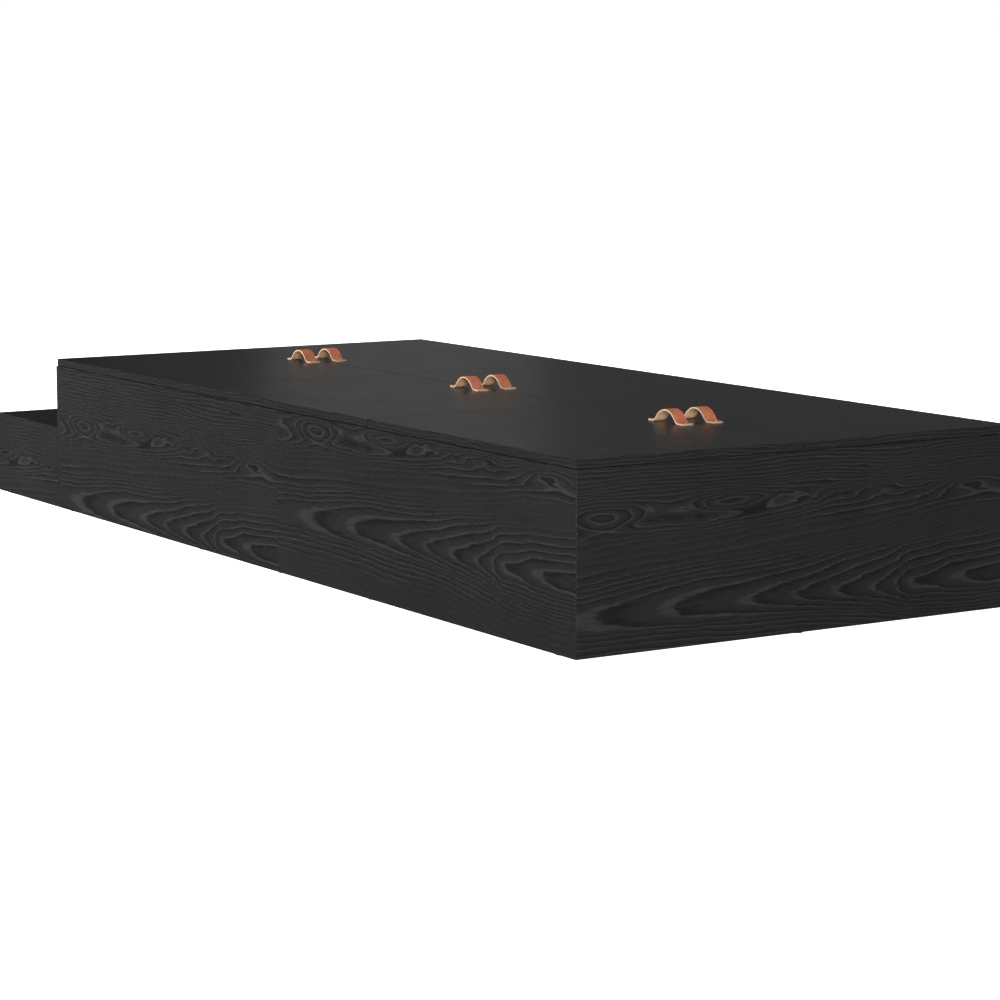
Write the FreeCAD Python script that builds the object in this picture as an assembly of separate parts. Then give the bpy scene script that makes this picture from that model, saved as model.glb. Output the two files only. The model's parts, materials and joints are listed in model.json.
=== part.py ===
"""Stepped platform bed with lift-up storage lids, and drawers in the step.

Millimetres, +Z up.  +X points to the plain head end and the step is at -X.
Right is -Y and left is +Y, as seen by someone lying with the head at +X.
The origin is at the middle of the footprint, on the floor.
"""
import FreeCAD
import Part
import itertools
import math
import os

Vector = FreeCAD.Vector
X_AXIS = Vector(1, 0, 0)
Y_AXIS = Vector(0, 1, 0)
Z_AXIS = Vector(0, 0, 1)

# ---- driving dimensions ---------------------------------------------------
BED_LENGTH = 2000.0          # storage box, outside
BED_WIDTH = 900.0            # storage box and step, outside
BED_HEIGHT = 322.0           # floor to the top of the lids
STEP_LENGTH = 330.0
STEP_HEIGHT = 175.0
BOARD = 15.0                 # laminated board
BOTTOM_BOARD = 10.0
DRAWER_BOARD = 12.0
SPLICE_BOARD = 12.0
TRAY_BOARD = 6.0             # loose drawer bottoms

LID_ROWS = ("head", "mid", "foot")
SIDES = {"right": -1, "left": 1}
LID_GAP = 1.5                # between neighbouring lids
LID_SEAT = 1.0               # shadow gap under the lids, set by the bumpers
LID_SETBACK = 8.0            # lids stop short of the foot end panel's face
EDGE_ROUND = 0.8
SEAM_ROUND = 0.5
STEP_SEAM_BEVEL = 1.5        # shadow line where the step meets the box
HINGE_BEVEL = 1.0            # lets a lid turn about an axis inside the faces

LOOP_SPAN = 104.0            # leather loop, foot tip to foot tip
LOOP_WIDTH = 25.0
LOOP_RISE = 24.0             # lid to the top of the arch
LEATHER = 3.0
LOOP_FOOT = 13.0             # flat length at each end
LOOP_TOE_RADIUS = 14.0       # centre line, where the foot turns up
LOOP_TO_SEAM = 31.5          # centre of a loop to the middle of the bed
LOOP_SCREW_HEAD = 3.5
LOOP_SCREW_DOME = 1.6        # height of the domed head
CROSS_LENGTH = 3.4           # cross recess in a domed head
CROSS_WIDTH = 0.7
CROSS_DEPTH = 0.8

HINGE_LENGTH = 50.0
HINGE_SPREAD = 220.0         # lid centre to hinge centre
KNUCKLE_RADIUS = 2.0
KNUCKLE_LENGTH = 16.0        # outer knuckles, on the base leaf
KNUCKLE_GAP = 0.3
PIN_RADIUS = 0.9
PIN_GRIP = 0.02              # play of the pin in the base leaf
PIN_PLAY = 0.06              # play of the pin in the lid's leaf
LEAF_WIDTH = 12.0
LEAF = 1.0
LEAF_SCREW_PLACE = 0.62      # share of the leaf's width, from the axis
LEAF_SCREW_SPACING = 18.0

CAM_RADIUS = 7.4
CAM_DEPTH = 11.8
CAM_SETBACK = 34.0           # joint to the cam's centre
CAM_BOLT_RADIUS = 3.0
CAM_BOLT_IN_MATE = 9.0
CAM_SLOT_LENGTH = 9.0        # cross slot for turning the cam
CAM_SLOT_WIDTH = 1.4
CAM_SLOT_DEPTH = 1.5
CAM_FROM_FOOT = 50.0         # foot of a tall board to its lower joint
CAM_FROM_TOP = 45.0
STEP_CAM_FROM_FOOT = 18.0
STEP_CAM_FROM_TOP = 20.0

SPLICE_REACH = 110.0         # splice plate, each way from the joint
SPLICE_FROM_FOOT = 30.0
SPLICE_FROM_TOP = 40.0
SPLICE_SCREW_REACHES = (30.0, 85.0)
SPLICE_SCREW_INSET = 25.0    # from the plate's long edges
SPLICE_SCREW_HEAD = 3.5
SPLICE_SCREW_BITE = 8.0      # how far the screw goes into the panel

DOWEL_RADIUS = 4.0
DOWEL_LENGTH = 30.0
DOWEL_IN_UPRIGHT = 20.0
DOWEL_INSET = 70.0           # from each end of the upright
DOWEL_END_PLAY = 0.5

GLIDE_RADIUS = 12.0
GLIDE_HEIGHT = 2.0
GLIDE_INSET = 45.0           # from the inside of an end panel
STEP_GLIDE_INSET = 60.0      # from the step's open end
BUMPER_RADIUS = 3.0
BUMPER_SPREAD = 200.0        # lid centre to bumper

RAIL_LENGTH = 280.0          # drawer runners
RAIL_HEIGHT = 40.0
RAIL_SPACE = 12.5            # between drawer side and carcass
RAIL_SHEET = 1.2
RAIL_PLAY = 0.6
RAIL_SETBACK = 4.0           # behind the drawer front
DRAWER_GAP = 2.0             # round a drawer front
DRAWER_BOX_HEIGHT = 106.0
DRAWER_BOX_LIFT = 10.0       # above the step's floor
TRAY_LIFT = 8.0              # bottom of the box sides to the loose bottom
NOTCH_LENGTH = 110.0         # finger notch in a drawer front
NOTCH_DEPTH = 24.0
NOTCH_ROUND = 19.0

# ---- derived places -------------------------------------------------------
TOTAL_LENGTH = BED_LENGTH + STEP_LENGTH
HEAD_X = TOTAL_LENGTH / 2
STEP_X = -TOTAL_LENGTH / 2
FOOT_X = STEP_X + STEP_LENGTH
SIDE_Y = BED_WIDTH / 2
INNER_HEAD_X = HEAD_X - BOARD
INNER_FOOT_X = FOOT_X + BOARD
INNER_Y = SIDE_Y - BOARD
BASE_Z = GLIDE_HEIGHT
LID_Z = BED_HEIGHT - BOARD
CARCASS_TOP = LID_Z - LID_SEAT
DIVIDER_Z = BASE_Z + BOARD + BOTTOM_BOARD
JOINT_X = (HEAD_X + FOOT_X) / 2
LID_LENGTH = (BED_LENGTH - LID_SETBACK - 2 * LID_GAP) / 3
LID_CENTRES = {}
for row, row_name in enumerate(LID_ROWS):
    LID_CENTRES[row_name] = HEAD_X - LID_LENGTH / 2 - row * (LID_LENGTH + LID_GAP)
CROSS_X = {
    "head": (LID_CENTRES["head"] + LID_CENTRES["mid"]) / 2,
    "foot": (LID_CENTRES["mid"] + LID_CENTRES["foot"]) / 2,
}
LOOP_CENTRES = {
    "head": HEAD_X - BED_LENGTH / 6,
    "mid": HEAD_X - BED_LENGTH / 2,
    "foot": HEAD_X - BED_LENGTH * 5 / 6,
}
AXIS_Y = SIDE_Y - HINGE_BEVEL
AXIS_Z = (LID_Z + CARCASS_TOP) / 2
STEP_UNDER_TOP = STEP_HEIGHT - BOARD
STEP_FLOOR = BASE_Z + DRAWER_BOARD

FIT = 0.1                    # play of a fastener in its hole
CLEARANCE = 0.3              # play round a hinge knuckle
SCREW_SHANK = 1.1
SCREW_HEAD = 1.8
SCREW_LENGTH = 9.0
PAST = 1.0                   # how far a cutter runs past what it cuts
TOLERANCE = 0.01

nodes = {}
cutters = {}


# ---- helpers --------------------------------------------------------------
def block(x_range, y_range, z_range):
    """A box between the two values of each range, in any order."""
    low = Vector(min(x_range), min(y_range), min(z_range))
    high = Vector(max(x_range), max(y_range), max(z_range))
    size = high - low
    return Part.makeBox(size.x, size.y, size.z, low)


def rod(start, direction, radius, length):
    return Part.makeCylinder(radius, length, start, direction)


def add(name, *shapes):
    """Puts solids into a node."""
    nodes.setdefault(name, []).extend(shapes)


def cut_later(name, *shapes):
    """Queues holes and recesses, which are cut when the node is written."""
    cutters.setdefault(name, []).extend(shapes)


def edges_where(shape, test):
    """Straight edges whose middle point passes the test."""
    return [edge for edge in shape.Edges if test(edge.CenterOfMass)]


def near(value, target):
    return abs(value - target) < TOLERANCE


def cross_slot(centre, axis, length, width, depth):
    """Two crossed slots, sunk to a depth on each side of centre, square to axis."""
    slots = []
    for turn in (45, 135):
        slot = Part.makeBox(length, width, 2 * depth, Vector(-length / 2, -width / 2, -depth))
        slot.rotate(Vector(0, 0, 0), Z_AXIS, turn)
        facing = FreeCAD.Placement(centre, FreeCAD.Rotation(Z_AXIS, axis))
        slot.Placement = facing.multiply(slot.Placement)
        slots.append(slot)
    return slots


def screw(head_base, direction, length=SCREW_LENGTH, head_radius=SCREW_HEAD):
    """A flat-headed screw. The head sits on head_base and the shank runs along direction."""
    head = rod(head_base - direction * LEAF, direction, head_radius, LEAF)
    shank = rod(head_base, direction, SCREW_SHANK, length)
    return head.fuse(shank).removeSplitter()


def domed_screw(head_base, direction, length):
    """A screw with a domed head and a cross recess."""
    ball_radius = (LOOP_SCREW_HEAD ** 2 + LOOP_SCREW_DOME ** 2) / (2 * LOOP_SCREW_DOME)
    crown = head_base - direction * LOOP_SCREW_DOME
    ball = Part.makeSphere(ball_radius, crown + direction * ball_radius)
    head = ball.common(rod(crown, direction, LOOP_SCREW_HEAD + PAST, LOOP_SCREW_DOME))
    shank = rod(head_base, direction, SCREW_SHANK, length)
    return head.fuse(shank).cut(cross_slot(crown, direction, CROSS_LENGTH, CROSS_WIDTH, CROSS_DEPTH))


def screw_hole(head_base, direction, length=SCREW_LENGTH):
    return rod(head_base, direction, SCREW_SHANK + FIT / 2, length + FIT)


# ---- cam and bolt joints between boards -----------------------------------
def cam_joint(board, mate, start, along, to_face):
    """Joins board to mate at start, which is at the middle of the board's thickness.

    along runs from the joint into the board, and to_face from the middle of
    the board's thickness to the face that the cam is turned from.
    """
    bolt_in_board = CAM_SETBACK - CAM_RADIUS - 2 * FIT
    bolt_start = start - along * CAM_BOLT_IN_MATE
    bolt_length = CAM_BOLT_IN_MATE + bolt_in_board
    add("cam_bolts", rod(bolt_start, along, CAM_BOLT_RADIUS, bolt_length))
    bore = rod(bolt_start - along * FIT, along, CAM_BOLT_RADIUS + FIT, bolt_length + 2 * FIT)
    cut_later(board, bore)
    cut_later(mate, bore)

    face = start + along * CAM_SETBACK + to_face * (BOARD / 2)
    cut_later(board, rod(face, to_face * -1, CAM_RADIUS + FIT, CAM_DEPTH + FIT))
    cam_face = face - to_face * CLEARANCE
    cam = rod(cam_face, to_face * -1, CAM_RADIUS, CAM_DEPTH - CLEARANCE)
    slots = cross_slot(cam_face, to_face, CAM_SLOT_LENGTH, CAM_SLOT_WIDTH, CAM_SLOT_DEPTH)
    add("cam_locks", cam.cut(slots))


# ---- storage box ----------------------------------------------------------
def top_bevel(x_range, sign):
    """Cuts the outer top corner of an upright board back under the hinge axis."""
    reach = 2 * HINGE_BEVEL
    corner = Vector(min(x_range), sign * SIDE_Y, CARCASS_TOP)
    outline = Part.makePolygon([
        corner + Vector(0, -sign * reach, HINGE_BEVEL),
        corner + Vector(0, sign * HINGE_BEVEL, -reach),
        corner + Vector(0, sign * HINGE_BEVEL, HINGE_BEVEL),
        corner + Vector(0, -sign * reach, HINGE_BEVEL),
    ])
    return Part.Face(outline).extrude(X_AXIS * abs(x_range[1] - x_range[0]))


def make_end_panels():
    for name, outer, inner in (
        ("head_end_panel", HEAD_X, INNER_HEAD_X),
        ("foot_end_panel", FOOT_X, INNER_FOOT_X),
    ):
        panel = block((outer, inner), (-SIDE_Y, SIDE_Y), (BASE_Z, CARCASS_TOP))
        outer_edges = edges_where(
            panel, lambda m: near(m.x, outer) and (near(abs(m.y), SIDE_Y) or near(m.z, CARCASS_TOP)))
        panel = panel.makeFillet(EDGE_ROUND, outer_edges)
        seam_edges = edges_where(panel, lambda m: near(m.x, inner) and near(abs(m.y), SIDE_Y))
        add(name, panel.makeFillet(SEAM_ROUND, seam_edges))
        for sign in SIDES.values():
            cut_later(name, top_bevel((outer, inner), sign))


def make_side_panels():
    for side, sign in SIDES.items():
        for part, x_range in (("head", (JOINT_X, INNER_HEAD_X)), ("foot", (INNER_FOOT_X, JOINT_X))):
            name = f"{side}_side_panel_{part}"
            add(name, block(x_range, (sign * INNER_Y, sign * SIDE_Y), (BASE_Z, CARCASS_TOP)))
            cut_later(name, top_bevel(x_range, sign))
            end_x = INNER_HEAD_X if part == "head" else INNER_FOOT_X
            inward = X_AXIS * (-1 if part == "head" else 1)
            for z in (BASE_Z + CAM_FROM_FOOT, CARCASS_TOP - CAM_FROM_TOP):
                joint = Vector(end_x, sign * (SIDE_Y - BOARD / 2), z)
                cam_joint(name, f"{part}_end_panel", joint, inward, Y_AXIS * -sign)


def make_dividers():
    """The long divider under the middle seam, cross-lapped with two short ones."""
    half_z = (DIVIDER_Z + CARCASS_TOP) / 2
    half = BOARD / 2
    slot = half + FIT
    add("centre_divider", block((INNER_FOOT_X, INNER_HEAD_X), (-half, half), (DIVIDER_Z, CARCASS_TOP)))
    for part, x in CROSS_X.items():
        name = f"cross_divider_{part}"
        cut_later("centre_divider", block((x - slot, x + slot), (-BOARD, BOARD), (half_z, BED_HEIGHT)))
        add(name, block((x - half, x + half), (-INNER_Y, INNER_Y), (DIVIDER_Z, CARCASS_TOP)))
        cut_later(name, block((x - BOARD, x + BOARD), (-slot, slot), (0, half_z)))
        panel_part = "head" if x > JOINT_X else "foot"
        for side, sign in SIDES.items():
            for z in (DIVIDER_Z + CAM_FROM_FOOT, CARCASS_TOP - CAM_FROM_TOP):
                joint = Vector(x, sign * INNER_Y, z)
                cam_joint(name, f"{side}_side_panel_{panel_part}", joint, Y_AXIS * -sign, X_AXIS * -1)
    for end, x, inward in (("head", INNER_HEAD_X, -1), ("foot", INNER_FOOT_X, 1)):
        for z in (DIVIDER_Z + CAM_FROM_FOOT, CARCASS_TOP - CAM_FROM_TOP):
            joint = Vector(x, 0, z)
            cam_joint("centre_divider", f"{end}_end_panel", joint, X_AXIS * inward, Y_AXIS)


def make_bottom():
    """Battens along the panels' feet carry three loose bottom boards."""
    batten_z = (BASE_Z, BASE_Z + BOARD)
    for sign in SIDES.values():
        add("bottom_battens",
            block((INNER_FOOT_X, INNER_HEAD_X), (sign * INNER_Y, sign * (INNER_Y - BOARD)), batten_z))
    across = (-INNER_Y + BOARD, INNER_Y - BOARD)
    add("bottom_battens", block((INNER_HEAD_X - BOARD, INNER_HEAD_X), across, batten_z))
    add("bottom_battens", block((INNER_FOOT_X, INNER_FOOT_X + BOARD), across, batten_z))
    for x in CROSS_X.values():
        add("bottom_battens", block((x - 2 * BOARD, x + 2 * BOARD), across, batten_z))
    board_z = (BASE_Z + BOARD, DIVIDER_Z)
    gap = FIT * 2
    limits = {
        "head": (CROSS_X["head"] + gap, INNER_HEAD_X),
        "mid": (CROSS_X["foot"] + gap, CROSS_X["head"] - gap),
        "foot": (INNER_FOOT_X, CROSS_X["foot"] - gap),
    }
    for part, x_range in limits.items():
        add(f"bottom_board_{part}", block(x_range, (-INNER_Y, INNER_Y), board_z))


def make_splice_plates():
    """A plate inside each long side holds its two panels end to end."""
    z_range = (DIVIDER_Z + SPLICE_FROM_FOOT, CARCASS_TOP - SPLICE_FROM_TOP)
    screw_heights = (z_range[0] + SPLICE_SCREW_INSET, z_range[1] - SPLICE_SCREW_INSET)
    length = SPLICE_BOARD + SPLICE_SCREW_BITE
    for side, sign in SIDES.items():
        inner_face = sign * (INNER_Y - SPLICE_BOARD)
        outward = Y_AXIS * sign
        x_range = (JOINT_X - SPLICE_REACH, JOINT_X + SPLICE_REACH)
        add("side_splice_plates", block(x_range, (sign * INNER_Y, inner_face), z_range))
        for part, x_sign in (("head", 1), ("foot", -1)):
            for reach, z in itertools.product(SPLICE_SCREW_REACHES, screw_heights):
                head_base = Vector(JOINT_X + x_sign * reach, inner_face + sign * LEAF, z)
                add("carcass_screws", screw(head_base, outward, length, SPLICE_SCREW_HEAD))
                head_room = rod(head_base - outward * BOARD, outward, SPLICE_SCREW_HEAD + FIT, BOARD)
                cut_later("side_splice_plates", head_room, screw_hole(head_base, outward, length))
                cut_later(f"{side}_side_panel_{part}", screw_hole(head_base, outward, length))


def make_floor_glides():
    """Round pads under the joint between each panel and its batten."""
    step_x = STEP_X + STEP_GLIDE_INSET
    side_columns = (step_x, INNER_FOOT_X + GLIDE_INSET, CROSS_X["foot"], JOINT_X, CROSS_X["head"],
                    INNER_HEAD_X - GLIDE_INSET)
    places = [(x, sign * INNER_Y) for x in side_columns for sign in SIDES.values()]
    places += [(x, 0) for x in (step_x, CROSS_X["foot"], CROSS_X["head"], INNER_HEAD_X)]
    for x, y in places:
        add("floor_glides", rod(Vector(x, y, 0), Z_AXIS, GLIDE_RADIUS, GLIDE_HEIGHT))


def make_lid_bumpers():
    """Rubber dots on the centre divider that the lids' inner edges rest on."""
    for x in LID_CENTRES.values():
        for sign in SIDES.values():
            for reach in (-BUMPER_SPREAD, BUMPER_SPREAD):
                base = Vector(x + reach, sign * (LID_GAP / 2 + BUMPER_RADIUS + FIT), CARCASS_TOP)
                add("lid_bumpers", rod(base, Z_AXIS, BUMPER_RADIUS, LID_SEAT))


# ---- lids and their hinges ------------------------------------------------
def knuckle_spans(x):
    """X ranges of the two base knuckles and of the lid's knuckle between them."""
    end = HINGE_LENGTH / 2
    shoulder = end - KNUCKLE_LENGTH
    lid_half = shoulder - KNUCKLE_GAP
    base = ((x - end, x - shoulder), (x + shoulder, x + end))
    return base, (x - lid_half, x + lid_half)


def barrel(x_range, sign, radius):
    start = Vector(x_range[0], sign * AXIS_Y, AXIS_Z)
    return rod(start, X_AXIS, radius, x_range[1] - x_range[0])


def hinge_leaf(x, sign, z_range, own_spans, other_spans, bore_radius):
    """A leaf let into the board, with its knuckles round the axis."""
    ends = (x - HINGE_LENGTH / 2, x + HINGE_LENGTH / 2)
    leaf = block(ends, (sign * AXIS_Y, sign * (AXIS_Y - LEAF_WIDTH)), z_range)
    for span in other_spans:
        room = (span[0] - KNUCKLE_GAP, span[1] + KNUCKLE_GAP)
        leaf = leaf.cut(barrel(room, sign, KNUCKLE_RADIUS + CLEARANCE))
    for span in own_spans:
        leaf = leaf.fuse(barrel(span, sign, KNUCKLE_RADIUS))
    return leaf.cut(barrel(ends, sign, bore_radius)).removeSplitter()


def make_hinge(x, sign, panel, lid, lid_leaves, lid_screws):
    base_spans, lid_span = knuckle_spans(x)
    end = HINGE_LENGTH / 2
    play = FIT * 2
    room = (x - end - play, x + end + play)
    recess_y = (sign * (SIDE_Y + BOARD), sign * (AXIS_Y - LEAF_WIDTH - play))
    knuckle_room = barrel(room, sign, KNUCKLE_RADIUS + CLEARANCE)
    cut_later(panel, knuckle_room, block(room, recess_y, (CARCASS_TOP - LEAF, BED_HEIGHT)))
    cut_later(lid, knuckle_room, block(room, recess_y, (0, LID_Z + LEAF)))

    base_leaf = hinge_leaf(
        x, sign, (CARCASS_TOP - LEAF, CARCASS_TOP), base_spans, (lid_span,), PIN_RADIUS + PIN_GRIP)
    lid_leaf = hinge_leaf(
        x, sign, (LID_Z, LID_Z + LEAF), (lid_span,), base_spans, PIN_RADIUS + PIN_PLAY)
    for reach in (-LEAF_SCREW_SPACING, 0.0, LEAF_SCREW_SPACING):
        y = sign * (AXIS_Y - LEAF_WIDTH * LEAF_SCREW_PLACE)
        for z, direction, board, node in (
            (CARCASS_TOP - LEAF, Z_AXIS * -1, panel, "carcass_screws"),
            (LID_Z + LEAF, Z_AXIS, lid, lid_screws),
        ):
            head_base = Vector(x + reach, y, z)
            add(node, screw(head_base, direction))
            cut_later(board, screw_hole(head_base, direction))
        hole = rod(Vector(x + reach, y, CARCASS_TOP - LEAF), Z_AXIS, SCREW_HEAD + FIT, LEAF * 4)
        base_leaf = base_leaf.cut(hole)
        lid_leaf = lid_leaf.cut(hole)
    add("hinge_base_leaves", base_leaf)
    add(lid_leaves, lid_leaf)
    add("hinge_pins", barrel((x - end, x + end), sign, PIN_RADIUS))


def loop_profile(offset):
    """Half of the loop's outline in X and Z, from the crown to the tip.

    offset moves the line away from the centre of the leather: half the
    leather's thickness gives the outer face and minus half the inner one.
    """
    rise = LOOP_RISE - LEATHER
    run = LOOP_SPAN / 2 - LOOP_FOOT
    sweep = 2 * math.atan(rise / run)
    crown_radius = run / math.sin(sweep) - LOOP_TOE_RADIUS
    crown_centre = Vector(0, 0, LEATHER / 2 + rise - crown_radius)
    toe_centre = Vector(run, 0, LEATHER / 2 + LOOP_TOE_RADIUS)

    def on_crown(angle):
        reach = crown_radius + offset
        return crown_centre + Vector(math.sin(angle), 0, math.cos(angle)) * reach

    def on_toe(angle):
        reach = LOOP_TOE_RADIUS - offset
        return toe_centre - Vector(math.sin(angle), 0, math.cos(angle)) * reach

    tip = Vector(LOOP_SPAN / 2, 0, LEATHER / 2 + offset)
    return [
        Part.Arc(on_crown(0), on_crown(sweep / 2), on_crown(sweep)).toShape(),
        Part.Arc(on_toe(sweep), on_toe(sweep / 2), on_toe(0)).toShape(),
        Part.LineSegment(on_toe(0), tip).toShape(),
    ]


def leather_loop():
    """The whole loop about its own centre, standing on z = 0."""
    outer = loop_profile(LEATHER / 2)
    inner = loop_profile(-LEATHER / 2)
    tip_edge = Part.LineSegment(outer[-1].lastVertex().Point, inner[-1].lastVertex().Point).toShape()
    crown_edge = Part.LineSegment(
        inner[0].firstVertex().Point, outer[0].firstVertex().Point).toShape()
    wire = Part.Wire(Part.__sortEdges__(outer + [tip_edge] + inner + [crown_edge]))
    half = Part.Face(wire).extrude(Y_AXIS * LOOP_WIDTH)
    half.translate(Y_AXIS * (-LOOP_WIDTH / 2))
    return half.fuse(half.mirror(Vector(0, 0, 0), X_AXIS)).removeSplitter()


def make_leather_loop(x, sign, lid, loop_node, screw_node):
    place = Vector(x, sign * LOOP_TO_SEAM, BED_HEIGHT)
    loop = leather_loop()
    loop.translate(place)
    for end in (-1, 1):
        foot = place + Vector(end * (LOOP_SPAN - LOOP_FOOT) / 2, 0, LEATHER)
        down = Z_AXIS * -1
        length = LEATHER + SCREW_LENGTH
        hole = screw_hole(foot, down, length)
        loop = loop.cut(hole)
        cut_later(lid, hole)
        add(screw_node, domed_screw(foot, down, length))
    add(loop_node, loop)


def make_lid(row, side, sign):
    name = f"lid_{side}_{row}"
    x = LID_CENTRES[row]
    x_range = (x - LID_LENGTH / 2, x + LID_LENGTH / 2)
    lid = block(x_range, (sign * SIDE_Y, sign * LID_GAP / 2), (LID_Z, BED_HEIGHT))
    bevel = edges_where(lid, lambda m: near(m.y, sign * SIDE_Y) and near(m.z, LID_Z))
    lid = lid.makeChamfer(HINGE_BEVEL, bevel)
    lid = lid.makeFillet(EDGE_ROUND, edges_where(lid, lambda m: near(m.z, BED_HEIGHT)))
    add(name, lid)
    screws = f"{name}_screws"
    make_leather_loop(LOOP_CENTRES[row], sign, name, f"{name}_loop", screws)
    for reach in (-HINGE_SPREAD, HINGE_SPREAD):
        hinge_x = x + reach
        part = "head" if hinge_x > JOINT_X else "foot"
        panel = f"{side}_side_panel_{part}"
        make_hinge(hinge_x, sign, panel, name, f"{name}_hinge_leaves", screws)


# ---- step and its drawers -------------------------------------------------
def make_step():
    top = block((STEP_X, FOOT_X), (-SIDE_Y, SIDE_Y), (STEP_UNDER_TOP, STEP_HEIGHT))
    rim = edges_where(top, lambda m: near(m.z, STEP_HEIGHT) and not near(m.x, FOOT_X))
    add("step_top", top.makeFillet(EDGE_ROUND, rim))
    add("step_bottom", block((STEP_X + BOARD, FOOT_X), (-INNER_Y, INNER_Y), (BASE_Z, STEP_FLOOR)))
    uprights = {
        "step_right_side": (-SIDE_Y, -INNER_Y, BASE_Z, 1),
        "step_left_side": (SIDE_Y, INNER_Y, BASE_Z, -1),
        "step_divider": (-BOARD / 2, BOARD / 2, STEP_FLOOR, 1),
    }
    for name, (y0, y1, foot_z, cam_side) in uprights.items():
        front_x = STEP_X + BOARD if name == "step_divider" else STEP_X
        middle = (y0 + y1) / 2
        upright = block((front_x, FOOT_X), (y0, y1), (foot_z, STEP_UNDER_TOP))
        seam = edges_where(upright, lambda m: near(m.x, FOOT_X) and near(abs(m.y), SIDE_Y))
        add(name, upright.makeChamfer(STEP_SEAM_BEVEL, seam) if seam else upright)
        for z in (STEP_FLOOR + STEP_CAM_FROM_FOOT, STEP_UNDER_TOP - STEP_CAM_FROM_TOP):
            joint = Vector(FOOT_X, middle, z)
            cam_joint(name, "foot_end_panel", joint, X_AXIS * -1, Y_AXIS * cam_side)
        for x in (STEP_X + DOWEL_INSET, FOOT_X - DOWEL_INSET):
            foot = Vector(x, middle, STEP_UNDER_TOP - DOWEL_IN_UPRIGHT)
            add("step_dowels", rod(foot, Z_AXIS, DOWEL_RADIUS, DOWEL_LENGTH))
            bore = rod(foot - Z_AXIS * DOWEL_END_PLAY, Z_AXIS, DOWEL_RADIUS + FIT / 2,
                       DOWEL_LENGTH + 2 * DOWEL_END_PLAY)
            cut_later(name, bore)
            cut_later("step_top", bore)


def rail_pair(face_y, sign, x_range, z_middle):
    """Fixed and moving member of a runner, in the space from face_y along sign."""
    half = RAIL_HEIGHT / 2
    outer = block(x_range, (face_y, face_y + sign * (RAIL_SPACE - RAIL_SHEET - RAIL_PLAY)),
                  (z_middle - half, z_middle + half))
    hollow = half - RAIL_SHEET
    fixed = outer.cut(block((x_range[0] - PAST, x_range[1] + PAST),
                            (face_y + sign * RAIL_SHEET, face_y + sign * 2 * RAIL_SPACE),
                            (z_middle - hollow, z_middle + hollow)))
    moving_half = hollow - RAIL_PLAY
    moving_y = (face_y + sign * (RAIL_SHEET + RAIL_PLAY), face_y + sign * RAIL_SPACE)
    moving = block(x_range, moving_y, (z_middle - moving_half, z_middle + moving_half))
    pocket = moving_half - RAIL_SHEET
    moving = moving.cut(block((x_range[0] - PAST, x_range[1] + PAST),
                              (face_y, face_y + sign * (RAIL_SPACE - RAIL_SHEET)),
                              (z_middle - pocket, z_middle + pocket)))
    return fixed, moving


def make_drawer(side, sign):
    name = f"drawer_{side}"
    low_y = BOARD / 2
    high_y = INNER_Y
    front_z = (STEP_FLOOR + DRAWER_GAP, STEP_UNDER_TOP - DRAWER_GAP)
    front = block((STEP_X, STEP_X + BOARD),
                  (sign * DRAWER_GAP / 2, sign * (high_y - DRAWER_GAP)), front_z)
    middle_y = sign * (DRAWER_GAP / 2 + high_y - DRAWER_GAP) / 2
    notch = block((STEP_X - PAST, STEP_X + BOARD + PAST),
                  (middle_y - NOTCH_LENGTH / 2, middle_y + NOTCH_LENGTH / 2),
                  (front_z[1] - NOTCH_DEPTH, front_z[1] + NOTCH_DEPTH))
    lower_edges = edges_where(notch, lambda m: near(m.z, front_z[1] - NOTCH_DEPTH)
                              and near(abs(m.y - middle_y), NOTCH_LENGTH / 2))
    front = front.cut(notch.makeFillet(NOTCH_ROUND, lower_edges))
    rim = edges_where(front, lambda m: near(m.x, STEP_X))
    add(f"{name}_front", front.makeFillet(SEAM_ROUND, rim))

    box_foot = STEP_FLOOR + DRAWER_BOX_LIFT
    box_z = (box_foot, box_foot + DRAWER_BOX_HEIGHT)
    box_x = (STEP_X + BOARD, FOOT_X - DRAWER_BOARD)
    outer_y = (low_y + RAIL_SPACE, high_y - RAIL_SPACE)
    for y0, y1 in ((outer_y[0], outer_y[0] + DRAWER_BOARD), (outer_y[1] - DRAWER_BOARD, outer_y[1])):
        add(f"{name}_box", block(box_x, (sign * y0, sign * y1), box_z))
    inner_y = (sign * (outer_y[0] + DRAWER_BOARD), sign * (outer_y[1] - DRAWER_BOARD))
    add(f"{name}_box", block((box_x[1] - DRAWER_BOARD, box_x[1]), inner_y, box_z))
    tray_z = (box_foot + TRAY_LIFT, box_foot + TRAY_LIFT + TRAY_BOARD)
    add(f"{name}_bottom", block((box_x[0], box_x[1] - DRAWER_BOARD), inner_y, tray_z))

    rail_start = STEP_X + BOARD + RAIL_SETBACK
    rail_x = (rail_start, rail_start + RAIL_LENGTH)
    rail_z = (box_z[0] + box_z[1]) / 2
    for face_y, direction in ((sign * low_y, sign), (sign * high_y, -sign)):
        fixed, moving = rail_pair(face_y, direction, rail_x, rail_z)
        add("runner_cabinet_members", fixed)
        add(f"{name}_runners", moving)


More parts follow.
